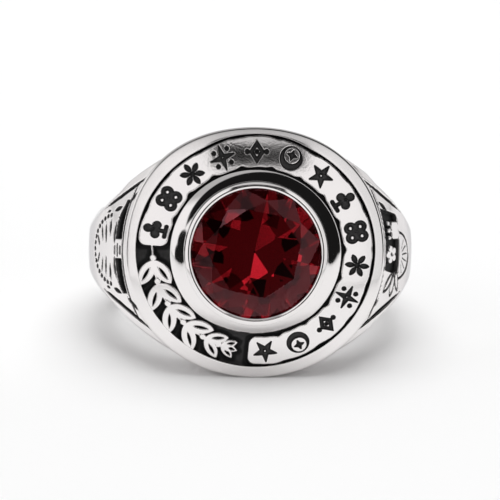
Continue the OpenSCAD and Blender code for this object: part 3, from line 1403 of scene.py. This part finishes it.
@dataclass(frozen=True)
class Spot:
    """A round patch of the surroundings, in degrees.

    It lies away from the direction to the camera, towards a clock angle that starts at the
    right and turns towards the top, and has a size and half the width of its soft edge.
    """

    away: float
    clock: float
    size: float
    soft: float


@dataclass
class Surroundings:
    """The white surroundings, with the dark screens and small lamps that the ring mirrors."""

    back: Vector
    screen: Spot = Spot(28, 37, 70.5, 1.0)
    screen_opening: Spot = Spot(7, -10, 50, 1.0)
    screen_cut: Pair = (-0.786, 0.619)
    card_high: tuple[Pair, Pair] = ((0.44, 0.47), (0.61, 0.58))
    card_wide: tuple[Pair, Pair] = ((-0.21, -0.16), (0.37, 0.32))
    patches: tuple[Spot, ...] = (Spot(57, 188, 8.5, 1.0), Spot(51, 175, 7.5, 1.0))
    camera_hood: Spot = Spot(0, 0, 7, 1.0)
    bright_front: Spot = Spot(0, 0, 44, 4.0)
    bright_left_to: Spot = Spot(0, 0, 92, 4.0)
    dim_front: Spot = Spot(0, 0, 22.5, 1.0)
    lamps: tuple[Spot, ...] = (Spot(14, 110, 2.0, 0.7), Spot(18.3, 89, 1.6, 0.5))
    white: Colour = (1.0, 0.99, 0.99, 1)
    pale: Colour = (0.82, 0.82, 0.82, 1)
    ceiling: Colour = (0.5, 0.5, 0.5, 1)
    dim: Colour = (0.2, 0.2, 0.2, 1)
    dark: Colour = (0.01, 0.01, 0.01, 1)
    lamp_glow: Colour = (2.4, 2.4, 2.5, 1)

    def __post_init__(self) -> None:
        """Makes the world and finds the axes across the direction to the camera."""
        world = bpy.data.worlds.new("studio")
        bpy.context.scene.world = world
        world.use_nodes = True
        self.tree: Nodes = world.node_tree
        self.right: Vector = Vector((0, 0, 1)).cross(self.back).normalized()
        self.up: Vector = self.back.cross(self.right)
        toward = add_node(self.tree, "ShaderNodeTexCoord")
        self.toward: Socket = toward.outputs["Generated"]

    def along(self, axis: Vector) -> Socket:
        """How far each direction goes along an axis.

        Args:
            axis: the axis, of length 1.

        Returns:
            The cosine of the angle between them.
        """
        node = add_node(self.tree, "ShaderNodeVectorMath", operation="DOT_PRODUCT")
        node.inputs[1].default_value = axis
        self.tree.links.new(self.toward, node.inputs[0])
        return node.outputs["Value"]

    def step(self, value: Socket, low: float, high: float) -> Socket:
        """Goes smoothly from 0 at low to 1 at high."""
        ends = {"From_Min": low, "From_Max": high, "interpolation_type": "SMOOTHSTEP"}
        return add_range(self.tree, value, **ends)

    def cap(self, spot: Spot) -> Socket:
        """Where a round patch is.

        Args:
            spot: the patch.

        Returns:
            1 inside it and 0 outside.
        """
        a, c = math.radians(spot.away), math.radians(spot.clock)
        aside = self.right * math.cos(c) + self.up * math.sin(c)
        axis = self.back * math.cos(a) + aside * math.sin(a)
        edges = [math.cos(math.radians(spot.size + side * spot.soft)) for side in (1, -1)]
        return self.step(self.along(axis), *edges)

    def merge(self, how: str, *parts: Socket) -> Socket:
        """Joins values by a sum.

        Args:
            how: the sum's name, such as MAXIMUM.
            parts: the values.

        Returns:
            The joined value.
        """
        whole = parts[0]
        for part in parts[1:]:
            node = add_node(self.tree, "ShaderNodeMath", operation=how)
            self.tree.links.new(whole, node.inputs[0])
            self.tree.links.new(part, node.inputs[1])
            whole = node.outputs[0]
        return whole

    def darkness(self, side: Socket, high: Socket) -> Socket:
        """Where the dark screens are: the large one with its opening, a card and two patches.

        Args:
            side: how far each direction goes to the right.
            high: how far it goes up in the picture.

        Returns:
            1 on them and 0 elsewhere.
        """
        closed = add_node(self.tree, "ShaderNodeMath", operation="SUBTRACT")
        closed.inputs[0].default_value = 1.0
        self.tree.links.new(self.cap(self.screen_opening), closed.inputs[1])
        right, up = self.screen_cut
        kept = self.step(self.along((self.right * right + self.up * up).normalized()), -0.82, -0.78)
        screen = self.merge("MULTIPLY", self.cap(self.screen), closed.outputs[0], kept)
        edges = [self.step(high, *ends) for ends in self.card_high]
        edges += [self.step(side, *ends) for ends in self.card_wide]
        card = self.merge("MULTIPLY", *edges)
        patches = [self.cap(patch) for patch in self.patches]
        return self.merge("MAXIMUM", screen, card, *patches, self.cap(self.camera_hood))

    def build(self) -> None:
        """Lays the surroundings' colours over each other, the nearest ones last."""
        tree = self.tree
        side, high = self.along(self.right), self.along(self.up)
        left = self.merge("MULTIPLY", self.step(side, -0.45, -0.8), self.cap(self.bright_left_to))
        bright = self.merge("MAXIMUM", self.cap(self.bright_front), left)
        colour = add_mix(tree, bright, self.pale, self.white)
        colour = add_mix(tree, self.cap(self.dim_front), colour, self.dim)
        colour = add_mix(tree, self.step(high, 0.52, 0.7), colour, self.ceiling)
        lit = self.merge("MAXIMUM", *[self.cap(lamp) for lamp in self.lamps])
        colour = add_mix(tree, lit, colour, self.lamp_glow)
        colour = add_mix(tree, self.darkness(side, high), colour, self.dark)
        tree.links.new(colour, tree.nodes["Background"].inputs["Color"])


@dataclass
class Studio:
    """Pale floor, soft light and the camera."""

    azimuth: float = -2.4
    elevation: float = 17.5
    distance: float = 0.350
    lens: float = 333.0
    film: float = 36.0
    roll: float = 1.3
    aim: Corner = (0.0, 0.0, 15.0)
    aim_px: Pair = (256.0, 253.3)
    floor_size: float = 3.0
    paper: Colour = (0.93, 0.93, 0.93, 1)
    lamp_at: Corner = (0.05, 0.1, 0.6)
    lamp_size: float = 0.7
    lamp_energy: float = 3.35

    def back(self) -> Vector:
        """Direction from the ring to the camera."""
        a, e = math.radians(self.azimuth), math.radians(self.elevation)
        return Vector((math.sin(a) * math.cos(e), -math.cos(a) * math.cos(e), math.sin(e)))

    def camera(self) -> None:
        """Makes the camera at the photograph's angle to the ring."""
        data = bpy.data.cameras.new("camera")
        data.lens, data.sensor_width = self.lens, self.film
        data.clip_start, data.clip_end = 0.01, 10.0
        cam = bpy.data.objects.new("camera", data)
        bpy.context.scene.collection.objects.link(cam)
        bpy.context.scene.camera = cam
        back = self.back()
        turn = (-back).to_track_quat("-Z", "Y").to_matrix()
        turn = turn @ Matrix.Rotation(math.radians(self.roll), 3, "Z")
        right, up = turn.col[0], turn.col[1]
        width = self.film / self.lens * self.distance
        off = Vector((self.aim_px[0] / PICTURE_PX - 0.5, 0.5 - self.aim_px[1] / PICTURE_PX))
        spot = Vector(POSE.place(np.array(self.aim))) + back * self.distance
        spot = spot - right * off.x * width - up * off.y * width
        cam.matrix_world = Matrix.Translation(spot) @ turn.to_4x4()

    def floor(self) -> None:
        """Makes the pale floor that the ring lies on."""
        bm = bmesh.new()
        bmesh.ops.create_grid(bm, x_segments=8, y_segments=8, size=self.floor_size)
        mesh = bpy.data.meshes.new("floor")
        bm.to_mesh(mesh)
        bm.free()
        plane = bpy.data.objects.new("floor", mesh)
        bpy.context.scene.collection.objects.link(plane)
        made = bpy.data.materials.new("floor_paper")
        made.use_nodes = True
        shader = made.node_tree.nodes["Principled BSDF"]
        shader.inputs["Base Color"].default_value = self.paper
        shader.inputs["Roughness"].default_value = 0.9
        shader.inputs["Specular IOR Level"].default_value = 0.1
        mesh.materials.append(made)

    def lamps(self) -> None:
        """Lights the floor with a wide soft lamp that the metal doesn't mirror."""
        data = bpy.data.lights.new("overhead", "AREA")
        data.shape, data.size = "DISK", self.lamp_size
        data.energy = self.lamp_energy
        lamp = bpy.data.objects.new("overhead", data)
        lamp.location = self.lamp_at
        lamp.visible_glossy = False
        bpy.context.scene.collection.objects.link(lamp)

    def build(self) -> None:
        """Sets up the whole studio."""
        self.camera()
        self.floor()
        Surroundings(self.back()).build()
        self.lamps()
        bpy.context.scene.view_settings.view_transform = "Standard"


def dress(piece: bpy.types.Object, material: bpy.types.Material) -> None:
    """Gives a piece its material, and reports it.

    Args:
        piece: the piece.
        material: its material.
    """
    piece.data.materials.append(material)
    points, faces = len(piece.data.vertices), len(piece.data.polygons)
    LOG.info("%s: %d points, %d faces", piece.name, points, faces)


def main() -> None:
    """Builds the studio and the ring, piece by piece."""
    logging.basicConfig(level=logging.INFO, format="%(name)s %(message)s")
    Studio().build()
    polished = SilverFinish("polished_silver", Coat.POLISHED).material()
    satin = SilverFinish("satin_silver", Coat.SATIN).material()
    cast = SilverFinish("cast_silver", Coat.CAST).material()
    head = Head()
    band = Band().build()
    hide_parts("ring_body")
    dress(band, satin)
    dress(head.build(), satin)
    dress(Ornament(head).build(), cast)
    dress(Bezel(head).build(), polished)
    stone = Stone().build()
    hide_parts("stone")
    dress(stone, RedStoneFinish().material())


if __name__ == "__main__":
    main()
